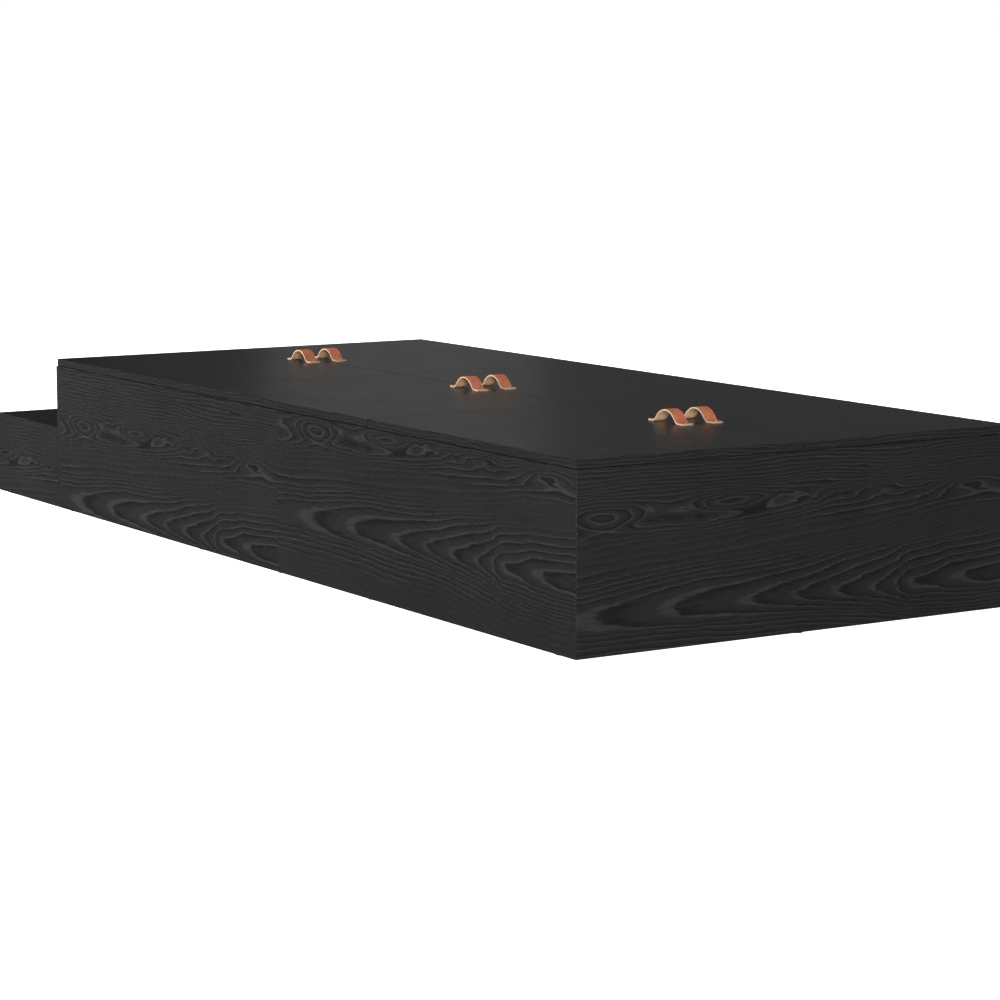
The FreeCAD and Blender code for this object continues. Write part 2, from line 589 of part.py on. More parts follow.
# ---- build and write ------------------------------------------------------
def write_nodes():
    os.makedirs("parts", exist_ok=True)
    for name, shapes in nodes.items():
        tools = cutters.get(name, [])
        if tools:
            shapes = [shape.cut(tools) for shape in shapes]
        solids = [solid for shape in shapes for solid in shape.Solids]
        for solid in solids:
            if not solid.isValid():
                raise RuntimeError(f"{name} has an invalid solid")
        shape = solids[0] if len(solids) == 1 else Part.makeCompound(solids)
        shape.exportStep(f"parts/{name}.step")
        box = shape.BoundBox
        print(f"{name:32s} {len(solids):3d} solids  x {box.XMin:8.1f} {box.XMax:8.1f}"
              f"  y {box.YMin:7.1f} {box.YMax:7.1f}  z {box.ZMin:6.1f} {box.ZMax:6.1f}")
    print(len(nodes), "nodes")


make_end_panels()
make_side_panels()
make_dividers()
make_bottom()
make_splice_plates()
make_floor_glides()
make_lid_bumpers()
for side_name, side_sign in SIDES.items():
    for row_name in LID_ROWS:
        make_lid(row_name, side_name, side_sign)
make_step()
for side_name, side_sign in SIDES.items():
    make_drawer(side_name, side_sign)
write_nodes()
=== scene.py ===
# A low storage bed in black oak laminate, with leather loops on its lids and
# a step with two drawers at its foot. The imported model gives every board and
# fitting its shape and place. This script gives each of them a material, and
# builds the leather loops as finished straps. Lengths are in metres, in the
# model's own frame: +X is the head end, +Y the left side, +Z up.

import json
import math

import bmesh
import bpy
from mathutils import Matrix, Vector

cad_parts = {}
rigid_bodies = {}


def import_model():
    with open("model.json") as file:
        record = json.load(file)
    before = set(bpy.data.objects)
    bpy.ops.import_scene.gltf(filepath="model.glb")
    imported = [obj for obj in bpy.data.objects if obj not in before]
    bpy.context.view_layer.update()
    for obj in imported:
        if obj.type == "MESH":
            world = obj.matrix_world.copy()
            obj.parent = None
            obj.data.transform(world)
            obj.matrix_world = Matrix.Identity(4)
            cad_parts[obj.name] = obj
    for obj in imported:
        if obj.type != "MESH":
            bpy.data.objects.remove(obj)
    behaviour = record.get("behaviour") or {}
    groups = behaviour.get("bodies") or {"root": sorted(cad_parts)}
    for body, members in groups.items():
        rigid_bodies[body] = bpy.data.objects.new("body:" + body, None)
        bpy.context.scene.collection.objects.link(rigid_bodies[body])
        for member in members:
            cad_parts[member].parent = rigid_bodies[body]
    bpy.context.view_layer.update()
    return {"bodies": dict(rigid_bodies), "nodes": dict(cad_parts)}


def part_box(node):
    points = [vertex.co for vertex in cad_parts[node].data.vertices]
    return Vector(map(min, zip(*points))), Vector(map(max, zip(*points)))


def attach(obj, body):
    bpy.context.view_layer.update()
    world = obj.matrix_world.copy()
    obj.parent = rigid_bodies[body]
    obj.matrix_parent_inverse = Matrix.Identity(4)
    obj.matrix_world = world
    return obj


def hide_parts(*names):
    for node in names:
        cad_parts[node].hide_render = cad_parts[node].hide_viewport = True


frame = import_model()
millimetre = 0.001


# ---------------------------------------------------------------- shader nodes

NOISE_GAIN = 3.0           # Blender's noise mostly stays within a third of its range


class Tree:
    """Adds shader nodes in one line each. An input is a value or another node's output."""

    def __init__(self, node_tree):
        self.tree = node_tree

    def node(self, kind, inputs=None, **settings):
        made = self.tree.nodes.new("ShaderNode" + kind)
        for name, value in settings.items():
            setattr(made, name, value)
        for name, value in (inputs or {}).items():
            if isinstance(value, bpy.types.NodeSocket):
                self.tree.links.new(value, made.inputs[name])
            else:
                made.inputs[name].default_value = value
        return made

    def math(self, operation, *values):
        return self.node("Math", dict(enumerate(values)), operation=operation).outputs[0]

    def add(self, *values):
        total = values[0]
        for value in values[1:]:
            total = self.math("ADD", total, value)
        return total

    def scale_add(self, value, factor, offset=0.0):
        return self.math("MULTIPLY_ADD", value, factor, offset)

    def blend(self, factor, low, high):
        return self.math("MULTIPLY_ADD", self.math("SUBTRACT", high, low), factor, low)

    def join(self, x, y, z=0.0):
        return self.node("CombineXYZ", {0: x, 1: y, 2: z}).outputs[0]

    def split(self, vector):
        return self.node("SeparateXYZ", {0: vector}).outputs

    def stretch(self, vector, factors):
        """vector scaled along X, Y and Z. Before a noise, the factors are features per metre."""
        return self.node("VectorMath", {0: vector, 1: factors}, operation="MULTIPLY").outputs[0]

    def noise(self, vector, detail=1.0):
        """Smooth noise about zero, mostly from -0.5 to 0.5, with one feature per unit of vector."""
        texture = self.node("TexNoise", {"Vector": vector, "Scale": 1.0, "Detail": detail})
        return self.scale_add(texture.outputs[0], NOISE_GAIN, -NOISE_GAIN / 2)

    def curve(self, value, points):
        """A smooth line through points (value, result), level beyond its ends."""
        start, end = points[0][0], points[-1][0]
        low = min(y for _, y in points)
        high = max(y for _, y in points)
        share = self.node("MapRange", {"Value": value, "From Min": start, "From Max": end}).outputs[0]
        node = self.node("FloatCurve", {"Value": share})
        line = node.mapping.curves[0]
        placed = [((x - start) / (end - start), (y - low) / (high - low)) for x, y in points]
        line.points[0].location = placed[0]
        line.points[1].location = placed[-1]
        for x, y in placed[1:-1]:
            line.points.new(x, y)
        for point in line.points:
            point.handle_type = "AUTO_CLAMPED"
        node.mapping.update()
        return self.scale_add(node.outputs[0], high - low, low)

    def ramp(self, value, stops):
        node = self.node("ValToRGB", {0: value})
        elements = node.color_ramp.elements
        elements[0].position, elements[1].position = stops[0][0], stops[-1][0]
        elements[0].color, elements[1].color = (*stops[0][1], 1), (*stops[-1][1], 1)
        for place, colour in stops[1:-1]:
            elements.new(place).color = (*colour, 1)
        return node.outputs[0]

    def shade(self, colour, factor):
        """colour made lighter or darker by a factor that varies over the surface."""
        return self.node("VectorMath", {0: colour, "Scale": factor}, operation="SCALE").outputs[0]

    def bump(self, height, distance, strength):
        """Relief: distance is how far one unit of height stands up."""
        return self.node("Bump", {"Height": height, "Distance": distance, "Strength": strength}).outputs[0]

    def object_position(self):
        return self.node("TexCoord").outputs["Object"]

    def object_normal(self):
        return self.node("TexCoord").outputs["Normal"]


def new_material(name):
    material = bpy.data.materials.new(name)
    material.use_nodes = True
    material.node_tree.nodes.clear()
    return material, Tree(material.node_tree)


def finish_material(material, tree, colour, roughness, normal, **constants):
    """Principled surface. constants are settings that are the same all over."""
    inputs = {"Base Color": colour, "Roughness": roughness, "Normal": normal}
    inputs.update({name.replace("_", " "): value for name, value in constants.items()})
    surface = tree.node("BsdfPrincipled", inputs)
    tree.node("OutputMaterial", {"Surface": surface.outputs[0]})
    return material


# ---------------------------------------------------------- black oak laminate
#
# The laminate is a print of a crown-cut oak board. Its grain is drawn as the
# growth rings of a board: a height field over the board, counted in rings,
# whose whole numbers are the pale lines. "along" runs with the grain and
# "across" up the board.

PRINT_WIDTH = 0.315        # across; beyond it the print is mirrored

# Rings that the cathedral in the lower half climbs through, along the board.
CATHEDRAL_CLIMB = [
    (-0.20, 0.0), (-0.10, 0.1), (0.04, 0.5), (0.19, 1.5), (0.35, 2.5), (0.44, 3.5), (0.53, 4.5),
    (0.61, 5.5), (0.655, 6.5), (0.69, 7.5), (0.745, 7.85), (0.77, 8.3), (0.80, 8.42), (0.82, 8.6),
    (0.89, 8.9), (1.00, 7.0), (1.20, 2.0),
]
# Its height across the board, as a share of the climb.
CATHEDRAL_SHAPE = [
    (0.0, 0.02), (0.018, 0.12), (0.03, 0.30), (0.04, 0.54), (0.05, 0.80), (0.058, 0.96),
    (0.066, 1.0), (0.074, 0.94), (0.09, 0.72), (0.105, 0.50), (0.12, 0.30), (0.135, 0.12), (0.15, 0.0),
]
# The rings spread apart from the cathedral's middle line towards its wide end.
CATHEDRAL_MIDDLE = 0.066
CATHEDRAL_SPREAD = [(0.25, 0.0), (0.50, 0.15), (0.75, 0.42), (1.00, 0.45)]
# Fine rings that rise along the cathedral's upper flank.
FLANK_RINGS = [(0.07, 0.0), (0.082, 0.25), (0.095, 1.2), (0.125, 4.2), (0.14, 5.0), (0.20, 11.0)]
FLANK_RISE = 0.07
# Rings below the cathedral, and the step up to the row of islands.
LOWER_RINGS = [
    (-0.08, 13.0), (-0.03, 7.0), (0.0, 3.9), (0.03, 1.1), (0.045, 0.0), (0.180, 0.0), (0.190, 0.62),
    (0.197, 0.85), (0.205, 1.3), (0.213, 1.25), (0.224, 1.0), (0.40, 1.0),
]
# The islands: dark where the value is above zero and pale where it is below.
ISLANDS = [
    (-0.20, -0.3), (0.13, -0.2), (0.145, 0.08), (0.215, 0.20), (0.225, -0.20), (0.26, -0.15),
    (0.37, -0.12), (0.405, -0.10), (0.415, 0.05), (0.445, 0.20), (0.452, -0.20), (0.475, -0.08),
    (0.485, 0.05), (0.52, 0.22), (0.53, -0.22), (0.56, -0.08), (0.57, 0.05), (0.62, 0.25),
    (0.66, -0.25), (0.685, -0.1), (0.70, 0.0), (0.90, 0.1), (1.0, 0.2), (1.2, -0.2),
]
ISLAND_ROW = [
    (0.200, 0.0), (0.212, 0.35), (0.220, 0.92), (0.228, 1.0), (0.237, 0.92), (0.245, 0.3), (0.252, 0.0),
]
ISLAND_MIDDLE = 0.228
ISLAND_SLANT = 1.0
# The close rings along the upper edge.
UPPER_RINGS = [(0.235, 0.0), (0.25, 0.9), (0.262, 2.6), (0.276, 4.6), (0.30, 8.0), (0.33, 12.0)]
# Swirls and bulges: centre along and across, reach along and across, rings.
SWIRLS = [
    ((0.050, 0.220), (0.078, 0.029), 3.6),
    ((0.310, 0.237), (0.090, 0.019), 3.3),
    ((0.560, 0.232), (0.100, 0.012), 1.5),
    ((0.810, 0.228), (0.070, 0.018), 2.6),
    ((0.600, 0.285), (0.100, 0.030), -1.0),
]
# How clearly the rings show: the middle of the board is nearly plain.
RING_CONTRAST = [
    (-0.04, 0.20), (-0.016, 0.28), (0.004, 0.9), (0.02, 1.0), (0.10, 1.0), (0.135, 0.6), (0.15, 0.32),
    (0.178, 0.35), (0.190, 0.8), (0.20, 1.0), (0.32, 1.0),
]
# From one ring to the next: a dark edge that fades, then a pale line.
RING_TONE = [
    (0.0, -1.0), (0.12, -0.95), (0.32, -0.30), (0.56, 0.0), (0.76, 0.12), (0.83, 0.95), (0.95, 0.95),
    (1.0, -1.0),
]
BANDING_CUT = 0.262        # across; the print on the banded ends of the boards
OAK_ROUGHNESS = 0.32
EDGE_RUB_AND_HIGHLIGHT_WIDTH = 1.6 * millimetre       # how far in from a board's edges the rubbing and the painted edge highlight reach
SQUARE_ON = 0.7            # a face whose normal has more than this along an axis faces along it
OAK_DARK = (0.0072, 0.0072, 0.0073)
OAK_MIDDLE = (0.0118, 0.0118, 0.0119)
OAK_PALE = (0.0205, 0.0203, 0.0201)


def swirl(tree, place, centre, reach, rings):
    """A rounded hill in the ring field."""
    inverse = (1 / reach[0], 1 / reach[1], 0)
    offset = tree.node("VectorMath", {0: place, 1: (*centre, 0)}, operation="SUBTRACT").outputs[0]
    scaled = tree.stretch(offset, inverse)
    squared = tree.node("VectorMath", {0: scaled, 1: scaled}, operation="DOT_PRODUCT").outputs["Value"]
    fall = tree.math("EXPONENT", tree.math("MULTIPLY", squared, -1.0))
    return tree.math("MULTIPLY", fall, rings)


def ring_field(tree, along, across, fibre):
    """Height of the ring field, in rings. fibre makes its lines a little ragged."""
    place = tree.join(along, across)
    ragged = tree.noise(tree.stretch(tree.join(along, across, 7.0), (20, 60, 1)))
    tip_place = tree.add(along, tree.scale_add(fibre, 0.006), tree.scale_add(ragged, 0.010))
    to_middle = tree.math("SUBTRACT", CATHEDRAL_MIDDLE, across)
    spread = tree.math("MULTIPLY_ADD", to_middle, tree.curve(along, CATHEDRAL_SPREAD), across)
    cathedral = tree.math(
        "MULTIPLY", tree.curve(tip_place, CATHEDRAL_CLIMB), tree.curve(spread, CATHEDRAL_SHAPE))
    flank_place = tree.scale_add(along, -FLANK_RISE, across)
    blot = tree.noise(tree.stretch(tree.join(along, across, 3.0), (16, 70, 1)))
    sway = tree.noise(tree.stretch(tree.join(along, across, 9.0), (9, 30, 1)))
    slant = tree.scale_add(across, ISLAND_SLANT, -ISLAND_SLANT * ISLAND_MIDDLE)
    island_place = tree.add(slant, tip_place, tree.scale_add(sway, 0.03))
    island_tone = tree.add(tree.curve(island_place, ISLANDS), tree.scale_add(blot, 0.35, 0.5))
    island_row = tree.curve(tree.scale_add(sway, 0.012, across), ISLAND_ROW)
    islands = tree.math("MULTIPLY", island_tone, island_row)
    lowered = tree.add(
        tree.curve(flank_place, FLANK_RINGS), tree.curve(spread, LOWER_RINGS),
        tree.curve(across, UPPER_RINGS))
    height = tree.math("SUBTRACT", tree.add(cathedral, islands), lowered)
    for centre, reach, rings in SWIRLS:
        height = tree.add(height, swirl(tree, place, centre, reach, rings))
    return tree.add(height, tree.scale_add(fibre, 0.06), -0.5)


def make_grain_group():
    """Node group: grain tone (-1 dark to 1 pale) and fibre height at a place on the board."""
    group = bpy.data.node_groups.new("black_oak_grain", "ShaderNodeTree")
    sockets = {"Along": "INPUT", "Across": "INPUT", "Tone": "OUTPUT", "Fibre": "OUTPUT"}
    for name, direction in sockets.items():
        group.interface.new_socket(name, in_out=direction, socket_type="NodeSocketFloat")
    tree = Tree(group)
    given = group.nodes.new("NodeGroupInput").outputs
    along, printed = given["Along"], given["Across"]
    mirrored = tree.math("SUBTRACT", 2 * PRINT_WIDTH, printed)
    folded = tree.math("MINIMUM", printed, mirrored)
    flat = tree.join(along, folded)
    wide_wave = tree.noise(tree.stretch(flat, (5, 14, 1)))
    close_wave = tree.noise(tree.stretch(flat, (30, 80, 1)))
    across = tree.add(folded, tree.scale_add(wide_wave, 0.0065), tree.scale_add(close_wave, 0.0017))
    fibre = tree.noise(tree.stretch(flat, (22, 520, 1)), detail=2.0)
    streak = tree.noise(tree.stretch(flat, (10, 700, 1)), detail=3.0)
    fine = tree.noise(tree.stretch(flat, (40, 1500, 1)))
    ring = tree.math("FRACT", ring_field(tree, along, across, fibre))
    broken = tree.noise(tree.stretch(tree.join(along, folded, 5.0), (15, 110, 1)), detail=2.0)
    strength = tree.math("MAXIMUM", tree.scale_add(broken, 1.1, 1.0), 0.2)
    clarity = tree.math("MULTIPLY", tree.curve(across, RING_CONTRAST), strength)
    line = tree.math("MULTIPLY", tree.curve(ring, RING_TONE), clarity)
    tone = tree.add(line, tree.scale_add(streak, 0.24), tree.scale_add(fine, 0.12))
    result = group.nodes.new("NodeGroupOutput").inputs
    group.links.new(tone, result["Tone"])
    group.links.new(tree.add(streak, fine), result["Fibre"])
    return group


def edge_distance(tree, position, low, high):
    """Distance to the board's nearest edge, for a point on one of its faces."""
    gaps = []
    for place, start, end in zip(position, low, high):
        to_start = tree.math("ABSOLUTE", tree.math("SUBTRACT", place, start))
        to_end = tree.math("ABSOLUTE", tree.math("SUBTRACT", place, end))
        gaps.append(tree.math("MINIMUM", to_start, to_end))
    nearer = tree.math("MINIMUM", gaps[0], gaps[1])
    further = tree.math("MAXIMUM", gaps[0], gaps[1])
    return tree.math("MAXIMUM", nearer, tree.math("MINIMUM", further, gaps[2]))


def black_oak(name, grain_group, grain_axis, start_along, start_across, wrap=None):
    """Laminate for one board. The start values say where on the print it was cut.

    The board's ends are banded, unless wrap gives the cut of the print that
    carries on round the corner from the next board.
    """
    low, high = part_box(name)
    size = high - low
    thin_axis = min(range(3), key=lambda axis: size[axis])
    wide_axis = 3 - grain_axis - thin_axis
    material, tree = new_material("black_oak_" + name)
    point = tree.object_position()
    position = tree.split(point)
    normal = tree.split(tree.object_normal())
    inside = [tree.math("SUBTRACT", place, start) for place, start in zip(position, low)]
    on_end = tree.math("GREATER_THAN", tree.math("ABSOLUTE", normal[grain_axis]), SQUARE_ON)
    on_face = tree.math("GREATER_THAN", tree.math("ABSOLUTE", normal[thin_axis]), SQUARE_ON)
    along = tree.add(tree.blend(on_end, inside[grain_axis], inside[wide_axis]), start_along)
    banding = tree.add(inside[thin_axis], BANDING_CUT)
    across = tree.blend(on_face, banding, tree.add(inside[wide_axis], start_across))
    if wrap:
        along = tree.blend(on_end, along, tree.add(inside[thin_axis], wrap[0]))
        across = tree.blend(on_end, across, tree.add(inside[wide_axis], wrap[1]))
    grain = tree.node("Group", node_tree=grain_group)
    tree.tree.links.new(along, grain.inputs["Along"])
    tree.tree.links.new(across, grain.inputs["Across"])
    tone, fibre = grain.outputs["Tone"], grain.outputs["Fibre"]

    cloud = tree.noise(tree.stretch(point, (6, 6, 6)), detail=2.0)
    scuff = tree.noise(tree.stretch(point, (90, 90, 90)), detail=3.0)
    # Lighter near a board's edges: partly rubbed wear, partly a painted highlight that stands in for the
    # light caught by the rounded edges.
    from_edge = tree.math("DIVIDE", edge_distance(tree, position, low, high), EDGE_RUB_AND_HIGHLIGHT_WIDTH)
    rub_and_painted_highlight = tree.math("MAXIMUM", tree.math("SUBTRACT", tree.scale_add(scuff, 0.8, 0.5), from_edge), 0.0)
    colour = tree.ramp(
        tree.scale_add(tone, 0.5, 0.5), [(0.0, OAK_DARK), (0.5, OAK_MIDDLE), (1.0, OAK_PALE)])
    colour = tree.shade(colour, tree.add(tree.scale_add(cloud, 0.10, 1.0), tree.scale_add(rub_and_painted_highlight, 0.2)))
    roughness = tree.add(tree.scale_add(fibre, 0.04, OAK_ROUGHNESS), tree.scale_add(cloud, 0.03))
    relief = tree.add(tree.scale_add(fibre, 0.6), tree.scale_add(tone, 0.4))
    bumped = tree.bump(relief, 0.08 * millimetre, 0.5)
    return finish_material(material, tree, colour, roughness, bumped, Specular_IOR_Level=0.3)


# Cuts of the boards in plain sight: grain axis, and where they start along and
# across the print.
CUTS = {
    "head_end_panel": (1, 0.0, 0.0),
    "right_side_panel_head": (0, -0.10, -0.057),
    "right_side_panel_foot": (0, -0.071, 0.035),
    "step_right_side": (0, 0.26, 0.145),
}
# These other boards have their grain along Y, across the bed.
CROSSWISE = ("foot_end_panel", "cross_divider_head", "cross_divider_foot", "step_top")


def cut_of(name, number):
    """The cut of one board. A board without its own takes one of twelve starts in turn."""
    crosswise = name in CROSSWISE or name.endswith("_front")
    start_along = 0.11 * (number % 4) - 0.12
    start_across = 0.09 * (number % 3) - 0.04
    return CUTS.get(name, (int(crosswise), start_along, start_across))


def face_boards_in_oak():
    """Every laminated board. The near side's print goes on round the head end's corner."""
    grain_group = make_grain_group()
    side_low, side_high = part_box("right_side_panel_head")
    _, side_along, side_across = CUTS["right_side_panel_head"]
    corner_cut = (side_high.x - side_low.x + side_along, side_across)
    boards = [name for name, node in sorted(frame["nodes"].items()) if slot_of(node) == "black_oak"]
    for number, name in enumerate(boards):
        wrap = corner_cut if name == "head_end_panel" else None
        put_on(name, black_oak(name, grain_group, *cut_of(name, number), wrap))


# ------------------------------------------------------------- other materials

def hardboard():
    """Black fibreboard: short pressed fibres."""
    material, tree = new_material("black_hardboard_fine")
    point = tree.object_position()
    fibres = tree.noise(tree.stretch(point, (900, 420, 900)), detail=4.0)
    cloud = tree.noise(tree.stretch(point, (14, 14, 14)), detail=2.0)
    colour = tree.ramp(
        tree.add(tree.scale_add(fibres, 0.5, 0.5), tree.scale_add(cloud, 0.2)),
        [(0.1, (0.005, 0.005, 0.005)), (0.6, (0.013, 0.012, 0.012)), (1.0, (0.025, 0.022, 0.020))])
    normal = tree.bump(fibres, 0.15 * millimetre, 0.5)
    return finish_material(material, tree, colour, tree.scale_add(fibres, 0.12, 0.78), normal)


def plated_metal(name, pale, dark, roughness, pits):
    """Plated steel or a zinc casting: brushed along X, with clouded plating and pitted by pits."""
    material, tree = new_material(name)
    point = tree.object_position()
    brushing = tree.noise(tree.stretch(point, (250, 5200, 5200)), detail=2.0)
    cloud = tree.noise(tree.stretch(point, (160, 160, 160)), detail=3.0)
    grit = tree.noise(tree.stretch(point, (2600, 2600, 2600)), detail=2.0)
    colour = tree.ramp(tree.scale_add(cloud, 0.7, 0.5), [(0.0, dark), (1.0, pale)])
    colour = tree.shade(colour, tree.scale_add(brushing, 0.12, 1.0))
    shine = tree.add(tree.scale_add(brushing, 0.10, roughness), tree.scale_add(cloud, 0.10))
    relief = tree.add(brushing, tree.scale_add(grit, pits))
    normal = tree.bump(relief, 0.02 * millimetre, 0.7)
    return finish_material(material, tree, colour, shine, normal, Metallic=1.0)


def black_enamel(name, roughness, wear):
    """Black coated steel, rubbed grey in spots as far as wear says."""
    material, tree = new_material(name)
    point = tree.object_position()
    peel = tree.noise(tree.stretch(point, (1500, 1500, 1500)), detail=2.0)
    rub = tree.noise(tree.stretch(point, (210, 210, 210)), detail=4.0)
    bare = tree.math("MULTIPLY", tree.math("GREATER_THAN", rub, 0.62), wear)
    colour = tree.ramp(
        tree.add(tree.scale_add(peel, 0.3, 0.3), bare),
        [(0.0, (0.004, 0.004, 0.004)), (0.6, (0.010, 0.010, 0.010)), (1.0, (0.12, 0.12, 0.12))])
    normal = tree.bump(peel, 0.03 * millimetre, 0.6)
    return finish_material(material, tree, colour, tree.scale_add(rub, 0.12, roughness), normal)


def moulded(name, dark, pale, roughness, grain_size):
    """Moulded nylon or rubber with a fine spark-eroded texture, its grains grain_size apart."""
    material, tree = new_material(name)
    point = tree.object_position()
    per_metre = 1 / grain_size
    cells = tree.node("TexVoronoi", {"Vector": point, "Scale": per_metre}).outputs["Distance"]
    dust = tree.noise(tree.stretch(point, (120, 120, 120)), detail=3.0)
    colour = tree.ramp(tree.scale_add(dust, 0.8, 0.45), [(0.0, dark), (1.0, pale)])
    normal = tree.bump(cells, 0.05 * millimetre, 0.7)
    return finish_material(material, tree, colour, tree.scale_add(dust, 0.10, roughness), normal)


def beech():
    """Pale beech with its short dark flecks."""
    material, tree = new_material("dowel_beech_fine")
    point = tree.object_position()
    figure = tree.noise(tree.stretch(point, (40, 700, 700)), detail=3.0)
    fleck = tree.noise(tree.stretch(point, (320, 2600, 2600)), detail=1.0)
    dark = tree.math("MULTIPLY", tree.math("GREATER_THAN", fleck, 0.35), 0.35)
    colour = tree.ramp(
        tree.math("SUBTRACT", tree.scale_add(figure, 0.5, 0.6), dark),
        [(0.0, (0.28, 0.15, 0.075)), (0.6, (0.58, 0.38, 0.22)), (1.0, (0.70, 0.50, 0.32))])
    normal = tree.bump(figure, 0.08 * millimetre, 0.5)
    return finish_material(material, tree, colour, tree.scale_add(figure, 0.1, 0.62), normal)


def leather_face():
    """The finished side: smooth tan leather with pores and darker blotches."""
    material, tree = new_material("leather_tan_face")
    point = tree.object_position()
    blotch = tree.noise(tree.stretch(point, (90, 90, 90)), detail=3.0)
    pores = tree.node("TexVoronoi", {"Vector": point, "Scale": 1500.0}).outputs["Distance"]
    creases = tree.noise(tree.stretch(point, (600, 160, 600)), detail=3.0)
    colour = tree.ramp(
        tree.add(tree.scale_add(blotch, 0.55, 0.5), tree.scale_add(creases, 0.12)),
        [(0.0, (0.40, 0.092, 0.034)), (0.5, (0.55, 0.158, 0.068)), (1.0, (0.63, 0.240, 0.115))])
    relief = tree.add(tree.scale_add(pores, 0.8), tree.scale_add(creases, 0.5))
    normal = tree.bump(relief, 0.08 * millimetre, 0.6)
    roughness = tree.add(tree.scale_add(blotch, 0.08, 0.40), tree.scale_add(pores, 0.08))
    return finish_material(material, tree, colour, roughness, normal, Specular_IOR_Level=0.5)


def leather_cut_edge():
    """The cut edge: pale fibres in thin layers."""
    material, tree = new_material("leather_cut_edge")
    point = tree.object_position()
    layers = tree.noise(tree.stretch(point, (900, 900, 2400)), detail=3.0)
    patch = tree.noise(tree.stretch(point, (140, 140, 140)), detail=2.0)
    colour = tree.ramp(
        tree.add(tree.scale_add(layers, 0.35, 0.5), tree.scale_add(patch, 0.25)),
        [(0.0, (0.38, 0.20, 0.11)), (0.5, (0.56, 0.38, 0.25)), (1.0, (0.66, 0.52, 0.39))])
    normal = tree.bump(layers, 0.12 * millimetre, 0.6)
    return finish_material(material, tree, colour, tree.scale_add(layers, 0.1, 0.66), normal)


def leather_suede():
    """The flesh side: tan suede with a soft nap."""
    material, tree = new_material("leather_suede_back")
    point = tree.object_position()
    nap = tree.noise(tree.stretch(point, (1800, 1800, 1800)), detail=3.0)
    brushed = tree.noise(tree.stretch(point, (120, 260, 120)), detail=3.0)
    colour = tree.ramp(
        tree.add(tree.scale_add(nap, 0.3, 0.5), tree.scale_add(brushed, 0.3)),
        [(0.0, (0.58, 0.30, 0.14)), (0.5, (0.80, 0.47, 0.23)), (1.0, (0.90, 0.63, 0.37))])
    normal = tree.bump(nap, 0.15 * millimetre, 0.7)
    return finish_material(
        material, tree, colour, tree.scale_add(nap, 0.06, 0.90), normal, Sheen_Weight=0.2)


def slot_of(node):
    """The record's material slot that a CAD node was packed with."""
    return node.material_slots[0].material.name.split(".")[0]


def put_on(name, material):
    for place in frame["nodes"][name].material_slots:
        place.material = material


def finish_fittings():
    """Materials for everything that isn't laminate or leather."""
    finishes = {
        "black_hardboard": hardboard(),
        "hinge_black": black_enamel("hinge_black_fine", roughness=0.36, wear=0.25),
        "screw_black": black_enamel("screw_black_fine", roughness=0.42, wear=0.45),
        "screw_nickel": plated_metal(
            "screw_nickel_fine", (0.80, 0.78, 0.74), (0.60, 0.57, 0.52), roughness=0.24, pits=0.2),
        "zinc": plated_metal(
            "zinc_fine", (0.62, 0.62, 0.63), (0.40, 0.40, 0.41), roughness=0.44, pits=1.0),
        "runner_steel": plated_metal(
            "runner_steel_fine", (0.66, 0.67, 0.69), (0.48, 0.50, 0.52), roughness=0.30, pits=0.4),
        "glide_plastic": moulded(
            "glide_plastic_fine", (0.012, 0.012, 0.012), (0.035, 0.035, 0.034),
            roughness=0.55, grain_size=0.8 * millimetre),
        "bumper_rubber": moulded(
            "bumper_rubber_fine", (0.010, 0.010, 0.010), (0.030, 0.030, 0.030),
            roughness=0.82, grain_size=0.5 * millimetre),
        "dowel_beech": beech(),
    }
    for name, node in frame["nodes"].items():
        if slot_of(node) in finishes:
            put_on(name, finishes[slot_of(node)])


# --------------------------------------------------------------- leather loops

STRAP = 3 * millimetre              # thickness of the leather
FOOT = 13 * millimetre              # flat length at each end
TOE_RADIUS = 14 * millimetre        # centre line, where the foot turns up
CORNER = 0.7 * millimetre           # rounding of the strap's long edges
CREASE_INSET = 2.2 * millimetre     # pressed line beside each long edge
CREASE_DEPTH = 0.25 * millimetre
TIP_RADIUS = 3.0 * millimetre       # rounding of the strap's ends, seen from above
DIMPLE_RADIUS = 5.5 * millimetre    # the leather gives a little under each screw
DIMPLE_DEPTH = 0.35 * millimetre
STATION_STEP = 0.9 * millimetre     # between cross-sections along the strap
CREASE_HALF_WIDTH = 0.35 * millimetre
CORNER_STEPS = 3                    # facets round each long edge
SHARP_EDGE = math.radians(40)       # edges sharper than this aren't smoothed


def strap_path(span, rise):
    """Points and outward normals in X and Z along the loop's centre line."""
    run = span / 2 - FOOT
    sweep = 2 * math.atan(rise / run)
    crown_radius = run / math.sin(sweep) - TOE_RADIUS
    crown_z = rise - crown_radius
    stations = []

    def arc(centre_x, centre_z, radius, start, end, side):
        count = max(2, round(radius * abs(end - start) / STATION_STEP))
        for i in range(count):
            angle = start + (end - start) * i / count
            normal = Vector((math.sin(angle), 0, math.cos(angle)))
            place = Vector((centre_x, 0, centre_z)) + normal * radius * side
            stations.append((place, normal))

    def foot(start, end):
        count = round(FOOT / STATION_STEP)
        for i in range(count):
            place = Vector((start + (end - start) * i / count, 0, 0))
            stations.append((place, Vector((0, 0, 1))))

    foot(-span / 2, -run)
    arc(-run, TOE_RADIUS, TOE_RADIUS, 0, -sweep, -1)
    arc(0, crown_z, crown_radius, -sweep, sweep, 1)
    arc(run, TOE_RADIUS, TOE_RADIUS, sweep, 0, -1)
    foot(run, span / 2)
    stations.append((Vector((span / 2, 0, 0)), Vector((0, 0, 1))))
    return stations


